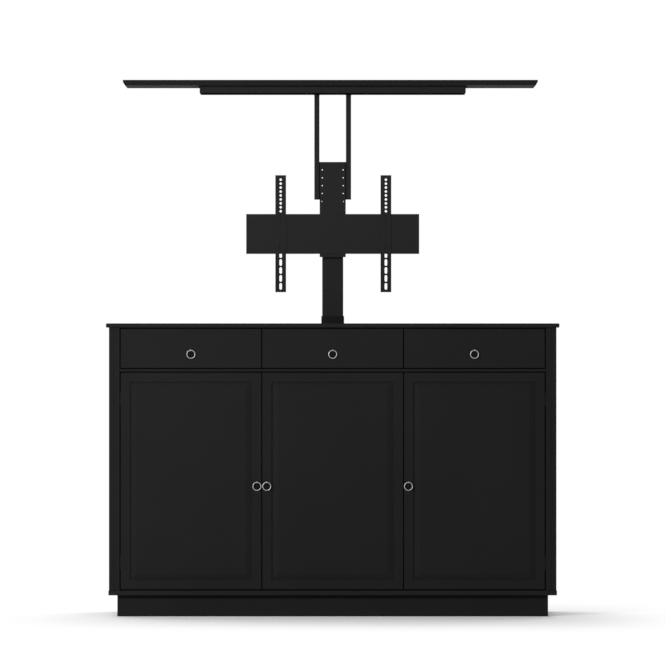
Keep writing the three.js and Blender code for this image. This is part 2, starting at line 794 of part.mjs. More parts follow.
// Screen rails: channels with round holes above and slots below, hooked over the plate
function buildScreenRails() {
  for (const [side, sign] of [['left', -1], ['right', 1]]) {
    const x = railShift + sign * railPitch / 2;
    const span = [x - railWidth / 2, x + railWidth / 2];
    const shape = rectangleShape(span, [railBottom, railTop]);
    for (let k = 0; k < railHoleCount; k += 1) {
      shape.holes.push(roundHole(x, railTop - railHoleDrop - k * railHolePitch, railHoleRadius));
    }
    for (let k = 0; k < railSlotCount; k += 1) {
      const z = railBottom + railSlotRise + railSlotLength / 2 + k * railSlotPitch;
      shape.holes.push(slotHole(x, z, railSlotWidth, railSlotLength));
    }
    const web = uprightSheet(shape, [railFront, railBack]);
    const flangeDepth = [railFront, railBack + railFlange];
    const height = [railBottom, railTop];
    const left = block([span[0], span[0] + railSheet], flangeDepth, height);
    const right = block([span[1] - railSheet, span[1]], flangeDepth, height);
    const notch = block(
      [span[0] - cutOverrun, span[1] + cutOverrun],
      [railBack, railBack + railFlange + cutOverrun],
      [screenPlateBottom - screenPlateClearance, screenPlateTop + screenPlateClearance],
    );
    addNode(`screen_rail_${side}`, cut(join(web, left, right), notch), steel);
  }
}

// Lid arms: angle bars up the sides of the spine, each with a flat foot under the lid plate
function buildLidArms() {
  for (const [side, sign] of [['left', -1], ['right', 1]]) {
    const inner = sign * (spineWidth / 2 + armGap);
    const outer = inner + sign * armWidth;
    const height = [armBottom, armTop];
    const front = block([inner, outer].sort((a, b) => a - b), [spineFront, spineFront + armSheet], height);
    const web = [inner, inner + sign * armSheet].sort((a, b) => a - b);
    const leg = block(web, [spineFront, spineFront + armDepth], height);
    const footMiddle = (inner + outer) / 2;
    const middle = spineFront + armDepth / 2;
    const foot = board(
      [footMiddle - armFootWidth / 2, footMiddle + armFootWidth / 2],
      [middle - armFootDepth / 2, middle + armFootDepth / 2],
      [armTop - armFootThickness, armTop],
    );
    addNode(`lid_arm_${side}`, join(front, leg, foot), steel);
  }
}

// Lid: a straight lip above, a fine groove under it and a bevel that lets it drop into the top
function buildLid() {
  const half = lidWidth / 2;
  const lidMiddle = (lidFront + lidBack) / 2;
  const bevelHeight = lidThickness - lidLip;
  const shape = rectangleShape([-half, half], [-lidDepth / 2, lidDepth / 2]);
  const slab = new THREE.ExtrudeGeometry(shape, {
    depth: lidLip,
    bevelSize: lidBevel,
    bevelThickness: bevelHeight,
    bevelOffset: -lidBevel,
    bevelSegments: 1,
  });
  slab.translate(lidShift, lidMiddle, lidTop - lidLip);
  const above = block(
    [lidShift - half - cutOverrun, lidShift + half + cutOverrun],
    [lidFront - cutOverrun, lidBack + cutOverrun],
    [lidTop, lidTop + bevelHeight + cutOverrun],
  );
  const quirkHeight = [lidTop - lidLip - lidQuirk, lidTop - lidLip];
  const core = block(
    [lidShift - half + lidQuirk, lidShift + half - lidQuirk],
    [lidFront + lidQuirk, lidBack - lidQuirk],
    quirkHeight,
  );
  const around = block(
    [lidShift - half - cutOverrun, lidShift + half + cutOverrun],
    [lidFront - cutOverrun, lidBack + cutOverrun],
    quirkHeight,
  );
  addNode('lid', cut(slab, above, cut(around, core)), paint);

  const boardHalf = stiffenerWidth / 2;
  const boardDepth = [lidFront + stiffenerFrontSetback, lidBack - stiffenerBackSetback];
  const boardHeight = [stiffenerBottom, stiffenerTop];
  const stiffener = board([-boardHalf, boardHalf], boardDepth, boardHeight, stiffenerEdge);
  const plateHalf = boardHalf - lidPlateMargin;
  const plateDepth = [boardDepth[0] + lidPlateMargin, boardDepth[1] - lidPlateMargin];
  const pocket = block(
    [-plateHalf - seatGap, plateHalf + seatGap],
    [plateDepth[0] - seatGap, plateDepth[1] + seatGap],
    [stiffenerBottom - cutOverrun, lidPlateTop + seatGap],
  );
  addNode('lid_stiffener', cut(stiffener, pocket), paint);

  const plate = board([-plateHalf, plateHalf], plateDepth, [stiffenerBottom, lidPlateTop]);
  addNode('lid_plate', plate, darkSteel);
}

buildPlinth();
buildCarcass();
buildTop();
buildShelves();
frontNames.forEach((name, i) => {
  buildDoor(i);
  buildHingeArms(i);
  buildDrawer(i);
});
buildPulls();
buildColumn();
buildMotor();
buildControlBox();
buildHead();
buildSpine();
buildScreenPlate();
buildScreenRails();
buildLidArms();
buildLid();

export default cabinet;
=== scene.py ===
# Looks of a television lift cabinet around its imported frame. Metres, +Z up, the front faces -Y.
import json
import math

import bpy
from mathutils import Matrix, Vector


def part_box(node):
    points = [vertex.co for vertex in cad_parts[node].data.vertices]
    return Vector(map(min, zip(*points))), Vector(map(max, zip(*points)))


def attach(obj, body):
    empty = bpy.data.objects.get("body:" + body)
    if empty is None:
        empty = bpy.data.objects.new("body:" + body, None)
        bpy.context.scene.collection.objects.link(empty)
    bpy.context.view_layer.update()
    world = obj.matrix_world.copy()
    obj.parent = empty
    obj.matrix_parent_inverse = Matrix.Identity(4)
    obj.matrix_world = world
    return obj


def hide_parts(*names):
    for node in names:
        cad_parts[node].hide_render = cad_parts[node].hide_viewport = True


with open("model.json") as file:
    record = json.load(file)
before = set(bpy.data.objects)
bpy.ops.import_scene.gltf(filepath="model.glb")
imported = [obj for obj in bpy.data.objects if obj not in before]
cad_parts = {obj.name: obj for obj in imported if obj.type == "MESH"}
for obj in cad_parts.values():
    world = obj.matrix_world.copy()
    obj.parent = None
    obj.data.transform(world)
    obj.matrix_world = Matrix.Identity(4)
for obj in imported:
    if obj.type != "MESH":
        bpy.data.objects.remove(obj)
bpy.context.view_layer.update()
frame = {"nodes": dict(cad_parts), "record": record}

MM = 0.001
TURN = 2 * math.pi
LEFT, RIGHT = Vector((-1, 0, 0)), Vector((1, 0, 0))
FRONT, BACK = Vector((0, -1, 0)), Vector((0, 1, 0))
DOWN, UP = Vector((0, 0, -1)), Vector((0, 0, 1))

FRONTS = ("left", "middle", "right")
SIDES = (("left", -1), ("right", 1))
PULLS = [f"{kind}_{name}" for kind in ("drawer", "door") for name in FRONTS]

# The photograph's frame: its size in pixels, and where the cabinet's front stands in it
FRAME_PX = 665
MM_PER_PX = 3.75
CENTRE_PX = 332.7
HORIZON_PX = 332.5
FLOOR_PX = 616.7
CAMERA_DISTANCE = 27.0
CAMERA_REACH = 200
SENSOR_MM = 36.0

# Surround and floor
WORLD_LEVEL = 0.3
FLOOR_TONE = 0.9
FLOOR_ROUGHNESS = 0.9
FLOOR_SPECULAR = 0.1
FLOOR_REACH = 60.0
GLOW_SIDEWAYS = 2.6
GLOW_FORWARD = 0.9
SHADOW_REACH = 1.5
SHADOW_GLOW = 0.13

# Lamps: a soft key from the left of the camera, and a wide one behind that throws the shadow forward
KEY_PLACE = (-2.7, -5.2, 2.15)
KEY_AIM = (0, -0.3, 1.0)
KEY_SIZE = (1.0, 1.0)
KEY_WATTS = 252
BACK_PLACE = (-1.2, 4.0, 4.5)
BACK_AIM = (-1.2, -0.6, 0)
BACK_SIZE = (11.0, 2.5)
BACK_WATTS = 480


def mm(*values):
    return tuple(value * MM for value in values)


# Camera, level and far away as in the photograph
def add_camera():
    data = bpy.data.cameras.new("photo_camera")
    data.sensor_width = SENSOR_MM
    data.lens = SENSOR_MM * CAMERA_DISTANCE / (FRAME_PX * MM_PER_PX * MM)
    data.clip_end = CAMERA_REACH
    camera = bpy.data.objects.new("photo_camera", data)
    x = (FRAME_PX / 2 - CENTRE_PX) * MM_PER_PX * MM
    z = (FLOOR_PX - HORIZON_PX) * MM_PER_PX * MM
    front_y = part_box("side_lining_left")[0].y
    camera.location = (x, front_y - CAMERA_DISTANCE, z)
    camera.rotation_euler = (math.radians(90), 0, 0)
    bpy.context.collection.objects.link(camera)
    bpy.context.scene.camera = camera


# Shader nodes. Noise keeps mostly between these two values, so each blend runs from one to the other
NOISE_LOW = 0.3
NOISE_HIGH = 0.7
EDGE_RADIUS = 0.5 * MM
EDGE_SAMPLES = 4


def new_material(name):
    material = bpy.data.materials.new(name)
    material.use_nodes = True
    tree = material.node_tree
    shader = tree.nodes["Principled BSDF"]
    return material, tree, shader


def object_coordinates(tree, stretch=(1, 1, 1)):
    source = tree.nodes.new("ShaderNodeTexCoord")
    mapping = tree.nodes.new("ShaderNodeMapping")
    mapping.inputs["Scale"].default_value = stretch
    tree.links.new(source.outputs["Object"], mapping.inputs["Vector"])
    return mapping.outputs["Vector"]


def noise(tree, vector, scale, detail=2.0, roughness=0.5):
    node = tree.nodes.new("ShaderNodeTexNoise")
    node.inputs["Scale"].default_value = scale
    node.inputs["Detail"].default_value = detail
    node.inputs["Roughness"].default_value = roughness
    tree.links.new(vector, node.inputs["Vector"])
    return node.outputs["Fac"]


def map_range(tree, factor, low, high, start=NOISE_LOW, end=NOISE_HIGH, kind="LINEAR"):
    node = tree.nodes.new("ShaderNodeMapRange")
    node.interpolation_type = kind
    node.inputs["From Min"].default_value = start
    node.inputs["From Max"].default_value = end
    node.inputs["To Min"].default_value = low
    node.inputs["To Max"].default_value = high
    tree.links.new(factor, node.inputs["Value"])
    return node.outputs["Result"]


def maths(tree, operation, first, second):
    node = tree.nodes.new("ShaderNodeMath")
    node.operation = operation
    tree.links.new(first, node.inputs[0])
    tree.links.new(second, node.inputs[1])
    return node.outputs[0]


# Base colour that drifts a share to each side of a tone
def tint(tree, shader, factor, tone, spread):
    ramp = tree.nodes.new("ShaderNodeValToRGB")
    ends = ((NOISE_LOW, 1 - spread), (NOISE_HIGH, 1 + spread))
    for element, (position, share) in zip(ramp.color_ramp.elements, ends):
        element.position = position
        element.color = (*[min(1.0, channel * share) for channel in tone], 1)
    tree.links.new(factor, ramp.inputs["Fac"])
    tree.links.new(ramp.outputs["Color"], shader.inputs["Base Color"])


# Roughness that drifts between a little less and a little more than its middle
def roughen(tree, shader, factor, gloss, less, more):
    tree.links.new(map_range(tree, factor, gloss - less, gloss + more), shader.inputs["Roughness"])


def bump(tree, shader, height, strength, distance, edge_radius=0):
    node = tree.nodes.new("ShaderNodeBump")
    node.inputs["Strength"].default_value = strength
    node.inputs["Distance"].default_value = distance
    tree.links.new(height, node.inputs["Height"])
    if edge_radius:
        soft = tree.nodes.new("ShaderNodeBevel")
        soft.samples = EDGE_SAMPLES
        soft.inputs["Radius"].default_value = edge_radius
        tree.links.new(soft.outputs["Normal"], node.inputs["Normal"])
    tree.links.new(node.outputs["Normal"], shader.inputs["Normal"])


# Sprayed satin paint over board: a faint orange peel and slow drifts in tone and gloss
def painted_board(name, tone, spread, gloss, specular):
    material, tree, shader = new_material(name)
    at = object_coordinates(tree)
    drift = noise(tree, at, scale=3.0, detail=3.0)
    mottle = noise(tree, at, scale=90.0, detail=3.0)
    peel = noise(tree, at, scale=420.0)
    tint(tree, shader, drift, tone, spread)
    roughen(tree, shader, mottle, gloss, less=0.05, more=0.05)
    bump(tree, shader, peel, strength=0.06, distance=0.6 * MM, edge_radius=EDGE_RADIUS)
    shader.inputs["Specular IOR Level"].default_value = specular
    return material


# Powder coat over steel: a fine pebbled skin
def powder_coat(name, tone, gloss, specular):
    material, tree, shader = new_material(name)
    at = object_coordinates(tree)
    grain = noise(tree, at, scale=1500.0, roughness=0.6)
    cloud = noise(tree, at, scale=25.0, detail=3.0)
    tint(tree, shader, grain, tone, spread=0.12)
    roughen(tree, shader, cloud, gloss, less=0.06, more=0.06)
    bump(tree, shader, grain, strength=0.12, distance=0.2 * MM)
    shader.inputs["Specular IOR Level"].default_value = specular
    return material


# Brushed or plated metal: fine streaks, drawn out along one axis where it is brushed
def bright_metal(name, tone, gloss, stretch=(1, 1, 1)):
    material, tree, shader = new_material(name)
    at = object_coordinates(tree, stretch)
    streak = noise(tree, at, scale=900.0, detail=3.0, roughness=0.6)
    tint(tree, shader, streak, tone, spread=0.12)
    roughen(tree, shader, streak, gloss, less=0.05, more=0.08)
    bump(tree, shader, streak, strength=0.03, distance=0.1 * MM)
    shader.inputs["Metallic"].default_value = 1.0
    return material


# Moulded plastic or rubber with a spark-eroded grain
def moulded_plastic(name, tone, gloss, specular=0.03):
    material, tree, shader = new_material(name)
    at = object_coordinates(tree)
    grain = noise(tree, at, scale=1100.0, detail=3.0, roughness=0.7)
    drift = noise(tree, at, scale=12.0)
    tint(tree, shader, drift, tone, spread=0.1)
    roughen(tree, shader, grain, gloss, less=0.05, more=0.07)
    bump(tree, shader, grain, strength=0.2, distance=0.4 * MM, edge_radius=EDGE_RADIUS)
    shader.inputs["Specular IOR Level"].default_value = specular
    return material


materials = {
    "paint": painted_board("satin_black_paint", tone=(0.0103, 0.0103, 0.0104),
                           spread=0.05, gloss=0.65, specular=0.04),
    # Lighter copy of the satin paint, a painted highlight: the whole board is lighter to stand in for its
    # edges catching light from above
    "edge_light_paint": painted_board("satin_black_paint_lit_copy", tone=(0.0122, 0.0122, 0.0123),
                                 spread=0.05, gloss=0.65, specular=0.03),
    "black_melamine": painted_board("black_melamine_face", tone=(0.0180, 0.0180, 0.0180),
                                    spread=0.03, gloss=0.65, specular=0.015),
    "inside_paint": painted_board("flat_black_paint", tone=(0.0140, 0.0140, 0.0140),
                                  spread=0.06, gloss=0.65, specular=0.05),
    "lift_steel": powder_coat("black_powder_coat", tone=(0.0137, 0.0137, 0.0139), gloss=0.5, specular=0.05),
    "dark_steel": powder_coat("flat_black_coat", tone=(0.0024, 0.0024, 0.0025), gloss=0.7, specular=0.0),
    "pull_metal": bright_metal("brushed_nickel", tone=(0.29, 0.29, 0.285), gloss=0.42),
    "hinge_metal": bright_metal("black_nickel_plate", tone=(0.05, 0.05, 0.05), gloss=0.34, stretch=(1, 1, 6)),
    "motor_plastic": moulded_plastic("moulded_black_plastic", tone=(0.0090, 0.0090, 0.0093), gloss=0.5),
    "dark_pull_disc": moulded_plastic("dark_disc_finish", tone=(0.0068, 0.0068, 0.0068), gloss=0.7),
}

# Boards whose edges the photograph shows a little lighter than the fronts
LIGHTER_BOARDS = ("top_board", "lid", "bottom_board")


def dress_nodes():
    slots = {entry["node"]: entry["material_slot"] for entry in frame["record"]["subparts"]}
    for name, obj in frame["nodes"].items():
        # These boards take the lighter copy of the paint, a painted highlight standing in for light on their
        # edges
        finish = "edge_light_paint" if name in LIGHTER_BOARDS else slots[name]
        obj.data.materials.clear()
        obj.data.materials.append(materials[finish])


# Mesh parts. Each is a pair: its points, and its faces as lists of point numbers
def stack(loops, closed=False):
    count = len(loops[0])
    points = [point for loop in loops for point in loop]
    rows = len(loops) if closed else len(loops) - 1
    faces = []
    for row in range(rows):
        base, above = row * count, (row + 1) % len(loops) * count
        for i in range(count):
            j = (i + 1) % count
            faces.append((base + i, base + j, above + j, above + i))
    if not closed:
        faces.append(tuple(reversed(range(count))))
        faces.append(tuple(range(len(points) - count, len(points))))
    return points, faces


# Axes across a direction, so that across x up = direction
def across_axes(direction):
    across = UP.cross(direction) if abs(direction.z) < 0.5 else RIGHT.copy()
    across.normalize()
    return across, direction.cross(across)


# A flat outline of (across, up) points set at a height along a direction
def set_outline(outline, origin, direction, height):
    across, up = across_axes(direction)
    return [origin + across * a + up * b + direction * height for a, b in outline]


# Profile points from shares of a radius and of a height
def scaled(shares, radius, height):
    return [(radius * r, height * h) for r, h in shares]


# Evenly spaced places from one value to another, both included
def spaced(start, end, count):
    return [start + (end - start) * i / (count - 1) for i in range(count)]


# The four corners of a box seen from above, inset from its edges
def inset_corners(low, high, inset):
    return [(x, y) for x in (low.x + inset, high.x - inset) for y in (low.y + inset, high.y - inset)]


def circle(radius, steps):
    angles = [TURN * i / steps for i in range(steps)]
    return [(radius * math.cos(angle), radius * math.sin(angle)) for angle in angles]


# Outline of a hexagon across its flats, sampled at even angles
def hexagon(flat, steps):
    points = []
    for i in range(steps):
        angle = TURN * i / steps
        off = (angle + TURN / 12) % (TURN / 6) - TURN / 12
        reach = flat / 2 / math.cos(off)
        points.append((reach * math.cos(angle), reach * math.sin(angle)))
    return points


# Screw recesses: a cross with round ends, whose waist is a share of its reach, and a hexagon socket
CROSS_WAIST_SHARE = 0.35
CROSS_SHARPNESS = 3
SOCKET_FLAT_SHARE = 1.5


def cross_recess(radius, steps):
    points = []
    for i in range(steps):
        angle = TURN * i / steps
        arm = abs(math.cos(2 * angle)) ** CROSS_SHARPNESS
        reach = radius * (CROSS_WAIST_SHARE + (1 - CROSS_WAIST_SHARE) * arm)
        points.append((reach * math.cos(angle), reach * math.sin(angle)))
    return points


def socket_recess(radius, steps):
    return hexagon(radius * SOCKET_FLAT_SHARE, steps)


# Rectangle with round corners
def round_rectangle(width, height, corner, steps=6):
    points = []
    for quarter, (sx, sy) in enumerate(((1, 1), (-1, 1), (-1, -1), (1, -1))):
        for i in range(steps + 1):
            angle = (quarter + i / steps) * TURN / 4
            points.append((sx * (width / 2 - corner) + corner * math.cos(angle),
                           sy * (height / 2 - corner) + corner * math.sin(angle)))
    return points


# Section of a thin strip, with corners a third of its thinner side
def thin_section(width, height):
    return round_rectangle(width, height, min(width, height) / 3, steps=2)


# Round body whose profile is (radius, height) pairs; a closed profile makes a ring
def turned(profile, origin, direction, steps=32, closed=False):
    loops = [set_outline(circle(radius, steps), origin, direction, height) for radius, height in profile]
    return stack(loops, closed)


def wire_ring(centre, axis, mean_radius, wire_radius, steps=72, sides=18):
    section = circle(wire_radius, sides)
    return turned([(mean_radius + a, b) for a, b in section], centre, axis, steps, closed=True)


# Plate with a hole of the same corner count, as a frame or bezel
def bezel(outer, inner, origin, direction, thickness):
    loops = [set_outline(outer, origin, direction, 0), set_outline(outer, origin, direction, thickness),
             set_outline(inner, origin, direction, thickness), set_outline(inner, origin, direction, 0)]
    return stack(loops, closed=True)


# Bar of one outline, from a seat along a direction
def bar(outline, seat, direction, length):
    return stack([set_outline(outline, seat, direction, 0), set_outline(outline, seat, direction, length)])


# Shares of a screw head's radius and height: its dome, then the mouth and floor of its recess
DOME_SHARES = ((1.0, 0.0), (1.0, 0.25), (0.93, 0.6), (0.8, 0.85), (0.62, 1.0))
RECESS_SHARES = ((0.55, 1.0), (0.48, 0.3))


def screw_head(origin, direction, radius, height, recess=cross_recess, steps=32):
    outlines = [(circle(r, steps), h) for r, h in scaled(DOME_SHARES, radius, height)]
    outlines += [(recess(r, steps), h) for r, h in scaled(RECESS_SHARES, radius, height)]
    return stack([set_outline(outline, origin, direction, h) for outline, h in outlines])


# Hexagon bolt head on a washer
WASHER_SHARES = ((1.0, 0.0), (1.0, 0.8), (0.95, 1.0))
BOLT_SHARES = ((1.0, 0.0), (1.0, 0.85), (0.9, 1.0))


def hex_bolt(origin, direction, flat, height, washer_radius, washer_thickness, steps=36):
    washer = turned(scaled(WASHER_SHARES, washer_radius, washer_thickness), origin, direction)
    loops = [set_outline(hexagon(across_flats, steps), origin, direction, washer_thickness + rise)
             for across_flats, rise in scaled(BOLT_SHARES, flat, height)]
    return [washer, stack(loops)]


# One object from several parts, riding on a body. Edges sharper than this stay sharp
SHARP_DEGREES = 35


def add_piece(name, parts, slot, body, finish=None):
    points, faces = [], []
    for part_points, part_faces in parts:
        start = len(points)
        points += part_points
        faces += [[start + i for i in face] for face in part_faces]
    mesh = bpy.data.meshes.new(name)
    mesh.from_pydata(points, [], faces)
    mesh.validate()
    mesh.polygons.foreach_set("use_smooth", [True] * len(mesh.polygons))
    mesh.set_sharp_from_angle(angle=math.radians(SHARP_DEGREES))
    mesh.materials.append(materials[finish or slot])
    obj = bpy.data.objects.new(name, mesh)
    bpy.context.collection.objects.link(obj)
    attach(obj, body)
    return obj


def centre_of(node):
    low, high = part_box(node)
    return (low + high) / 2


# Ring pulls: a smooth ring in the eye of a turned post with a small rose, and a thin dark disc behind the
# ring that makes the face inside the ring darker
ROSE_RADIUS = 3.9 * MM
ROSE_THICKNESS = 1.2 * MM
ROSE_SHARES = ((1.0, 0.0), (1.0, 0.5), (0.86, 1.0))
NECK_SHARE = 0.62
NECK_FOOT_SHARES = ((1.25, 1.25), (1.0, 2.0))
EYE_BAND = 1.9 * MM
EYE_HOLE_SHARE = 0.7
EYE_RIM_SHARE = 0.35
EYE_STEPS = 40
PAD_MARGIN = 1.5 * MM
PAD_THICKNESS = 0.5 * MM
PAD_SHARES = ((1.0, 0.0), (1.0, 0.6), (0.97, 1.0))


def add_pull(name):
    low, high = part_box(f"pull_ring_{name}")
    centre = centre_of(f"pull_ring_{name}")
    wire = (high.y - low.y) / 2
    mean = (high.x - low.x) / 2 - wire
    ring = add_piece(f"ring_{name}", [wire_ring(centre, BACK, mean, wire)], "pull_metal", f"ring_{name}")
    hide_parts(f"pull_ring_{name}")

    post_low, post_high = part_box(f"pull_post_{name}")
    post_centre = centre_of(f"pull_post_{name}")
    radius = (post_high.x - post_low.x) / 2
    seat = Vector((post_centre.x, post_high.y, post_centre.z))
    eye = Vector((seat.x, low.y + wire, seat.z))
    hole = min(eye.y - post_low.y - (radius - wire) / 2, radius * EYE_HOLE_SHARE)
    neck = radius * NECK_SHARE
    stem = scaled(ROSE_SHARES, ROSE_RADIUS, ROSE_THICKNESS)
    stem += scaled(NECK_FOOT_SHARES, neck, ROSE_THICKNESS)
    stem.append((neck, seat.y - eye.y - hole))
    rim = (radius - hole) * EYE_RIM_SHARE
    band = [(hole, rim - EYE_BAND), (hole + rim, -EYE_BAND),
            (radius - rim, -EYE_BAND), (radius, rim - EYE_BAND),
            (radius, EYE_BAND - rim), (radius - rim, EYE_BAND),
            (hole + rim, EYE_BAND), (hole, EYE_BAND - rim)]
    post_parts = [turned(stem, seat, FRONT), turned(band, eye, RIGHT, EYE_STEPS, closed=True)]
    post = add_piece(f"post_{name}", post_parts, "pull_metal", name)
    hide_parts(f"pull_post_{name}")

    # Thin dark disc behind the ring: it darkens the face inside the ring
    pad = scaled(PAD_SHARES, mean - wire - PAD_MARGIN, PAD_THICKNESS)
    pad_parts = [turned(pad, Vector((seat.x, seat.y, centre.z)), FRONT, EYE_STEPS)]
    add_piece(f"pull_pad_{name}", pad_parts, "motor_plastic", name, "dark_pull_disc")


# Door hinges: a pressed cup in each pocket with a screw in each of its two ears, and screws in each arm
POCKET_RADIUS = 17.5 * MM
POCKET_DEPTH = 12 * MM
POCKET_INSET = 22.5 * MM
CUP_FIT = 0.2 * MM
CUP_WALL = 0.9 * MM
CUP_LIP = 1.35 * MM
CUP_FLANGE = 0.7 * MM
CUP_CORNER_SHARE = 0.4
CUP_STEPS = 48
EAR_REACH = 24 * MM
EAR_RADIUS = 6 * MM
EAR_SHARES = ((1.0, 0.0), (1.0, 0.5), (0.9, 0.75))
EAR_SCREW = mm(3.72, 0.7)
HINGE_PLATE = 3 * MM
HINGE_ARM = 9 * MM
PLATE_SCREW_BACK = 18 * MM
PLATE_SCREW_RISE = 16 * MM
PLATE_SCREW = mm(4, 1.8)
ARM_SCREW_BACKS = mm(9, 26)
ARM_SCREW = mm(3.6, 1.2)


def hinge_side(name):
    return LEFT if name == "left" else RIGHT


def add_hinge_cups(name):
    low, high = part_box(f"door_{name}")
    side = hinge_side(name)
    edge = low.x if side is LEFT else high.x
    outer = POCKET_RADIUS - CUP_FIT
    bore = outer - CUP_WALL
    floor = CUP_FIT - POCKET_DEPTH
    corner = CUP_FLANGE * CUP_CORNER_SHARE
    cup = [(outer, floor), (outer, 0), (outer + CUP_LIP, 0), (outer + CUP_LIP, CUP_FLANGE - corner),
           (outer + CUP_WALL, CUP_FLANGE), (bore + CUP_WALL * CUP_CORNER_SHARE, CUP_FLANGE),
           (bore, corner), (bore, floor)]
    parts = []
    for end in ("low", "high"):
        seat = Vector((edge - side.x * POCKET_INSET, high.y, centre_of(f"hinge_arm_{name}_{end}").z))
        parts.append(turned(cup, seat, BACK, CUP_STEPS, closed=True))
        for direction in (DOWN, UP):
            ear = seat + direction * EAR_REACH
            parts.append(turned(scaled(EAR_SHARES, EAR_RADIUS, CUP_FLANGE), ear, BACK))
            parts.append(screw_head(ear, BACK, *EAR_SCREW))
    add_piece(f"hinge_cups_{name}", parts, "hinge_metal", f"door_{name}")


def add_hinge_screws(name):
    inward = -hinge_side(name)
    for end in ("low", "high"):
        low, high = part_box(f"hinge_arm_{name}_{end}")
        wall = low.x if inward.x > 0 else high.x
        plate_face = wall + inward.x * HINGE_PLATE
        arm_face = plate_face + inward.x * HINGE_ARM
        z = (low.z + high.z) / 2
        parts = []
        for rise in (-PLATE_SCREW_RISE, PLATE_SCREW_RISE):
            spot = Vector((plate_face, high.y - PLATE_SCREW_BACK, z + rise))
            parts.append(screw_head(spot, inward, *PLATE_SCREW))
        for back in ARM_SCREW_BACKS:
            parts.append(screw_head(Vector((arm_face, high.y - back, z)), inward, *ARM_SCREW))
        add_piece(f"hinge_screws_{name}_{end}", parts, "hinge_metal", "root")


# Pins that hold up each shelf at its corners
PIN_RADIUS = 2.5 * MM
PIN_REACH = 9 * MM
PIN_INSET = 22 * MM
PIN_SHARES = ((1.0, 0.0), (1.0, 0.9), (0.7, 1.0))
PIN_STEPS = 24


def add_shelf_pins(name):
    low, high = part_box(f"shelf_{name}")
    pin = scaled(PIN_SHARES, PIN_RADIUS, PIN_REACH)
    parts = []
    for x, direction in ((low.x, RIGHT), (high.x, LEFT)):
        for y in (low.y + PIN_INSET, high.y - PIN_INSET):
            parts.append(turned(pin, Vector((x, y, low.z - PIN_RADIUS)), direction, PIN_STEPS))
    add_piece(f"shelf_pins_{name}", parts, "hinge_metal", "root")


# Screws inside the drawer box that hold its front on
DRAWER_WALL = 12 * MM
DRAWER_SCREW = mm(4, 1.8)
DRAWER_SCREW_X_SHARES = (0.12, 0.5, 0.88)
DRAWER_SCREW_Z_SHARES = (0.25, 0.75)


def add_drawer_screws(name):
    low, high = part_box(f"drawer_box_{name}")
    parts = []
    for x_share in DRAWER_SCREW_X_SHARES:
        for z_share in DRAWER_SCREW_Z_SHARES:
            x = low.x + (high.x - low.x) * x_share
            z = low.z + (high.z - low.z) * z_share
            parts.append(screw_head(Vector((x, low.y + DRAWER_WALL, z)), BACK, *DRAWER_SCREW))
    add_piece(f"drawer_screws_{name}", parts, "hinge_metal", f"drawer_{name}")


# Plastic glides round the mouths of the outer and middle stages, and a dark sleeve down the outside of each
# that makes the stage's top end darker
GLIDE_HEIGHT = 2.4 * MM
GLIDE_CORNER = 6 * MM
GLIDE_GAP = 0.5 * MM
SLEEVE_HEIGHT = 34 * MM
SLEEVE_WALL = 0.3 * MM
SLEEVE_GAP = 0.05 * MM


def add_glide(name, stage, sliding, body):
    low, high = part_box(stage)
    inner_low, inner_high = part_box(sliding)
    mouth_centre = Vector(((low.x + high.x) / 2, (low.y + high.y) / 2, high.z))
    width, depth = high.x - low.x, high.y - low.y
    inner = round_rectangle(inner_high.x - inner_low.x + 2 * GLIDE_GAP,
                            inner_high.y - inner_low.y + 2 * GLIDE_GAP, GLIDE_CORNER)
    mouth = bezel(round_rectangle(width, depth, GLIDE_CORNER), inner, mouth_centre, UP, GLIDE_HEIGHT)
    shell = [round_rectangle(width + 2 * grow, depth + 2 * grow, GLIDE_CORNER + grow)
             for grow in (SLEEVE_GAP + SLEEVE_WALL, SLEEVE_GAP)]
    sleeve = bezel(*shell, mouth_centre + DOWN * SLEEVE_HEIGHT, UP, SLEEVE_HEIGHT)
    add_piece(name, [mouth, sleeve], "motor_plastic", body)


BASE_BOLT = {"flat": 13 * MM, "height": 5.3 * MM, "washer_radius": 8.5 * MM, "washer_thickness": 1.6 * MM}
BASE_BOLT_INSET = 14 * MM


def add_lift_bolts():
    low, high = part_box("lift_base")
    parts = []
    for x, y in inset_corners(low, high, BASE_BOLT_INSET):
        parts += hex_bolt(Vector((x, y, high.z)), UP, **BASE_BOLT)
    add_piece("lift_base_bolts", parts, "dark_steel", "root")


# Socket screws of the screen plate and its rails
SCREEN_BOLT = mm(4, 0.5)
PLATE_BOLT_X = 30 * MM
PLATE_BOLT_Z = 50 * MM
RAIL_BOLT_Z = 22 * MM


def add_screen_bolts(name, places, y):
    parts = [screw_head(Vector((x, y, z)), FRONT, *SCREEN_BOLT, socket_recess) for x, z in places]
    add_piece(name, parts, "lift_steel", "inner_stage")


def add_plate_bolts():
    z = centre_of("screen_plate").z
    places = [(x, z + rise) for x in (-PLATE_BOLT_X, PLATE_BOLT_X) for rise in (-PLATE_BOLT_Z, PLATE_BOLT_Z)]
    add_screen_bolts("plate_bolts", places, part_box("screen_plate")[0].y)


def add_rail_bolts(side):
    x = centre_of(f"screen_rail_{side}").x
    z = centre_of("screen_plate").z
    places = [(x, z + rise) for rise in (-RAIL_BOLT_Z, RAIL_BOLT_Z)]
    add_screen_bolts(f"rail_bolts_{side}", places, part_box(f"screen_rail_{side}")[0].y)


# Lid arms: bolts inside each arm, a shim in the slot between arm and spine, a thin dark bead over the front
# of that slot as painted shade that darkens the line between arm and spine, and a cap on the front of the
# arm's foot
FILL_PLAY = 0.04 * MM
ARM_GAP = 0.9 * MM
ARM_SHEET = 2.5 * MM
ARM_BOLT = {"flat": 8 * MM, "height": 4 * MM, "washer_radius": 6 * MM, "washer_thickness": 1.2 * MM}
ARM_BOLT_BACK = 14 * MM
ARM_BOLT_SHARES = (0.2, 0.5, 0.8)
SHIM_DEPTH = 18 * MM
SHIM_INSET = 2 * MM
BEAD_WIDTH = 3 * MM
BEAD_DEPTH = 0.5 * MM
BEAD_PLAY = 0.05 * MM
FOOT_THICKNESS = 3 * MM
FOOT_CAP = 0.6 * MM
FOOT_CAP_CORNER = 0.5 * MM


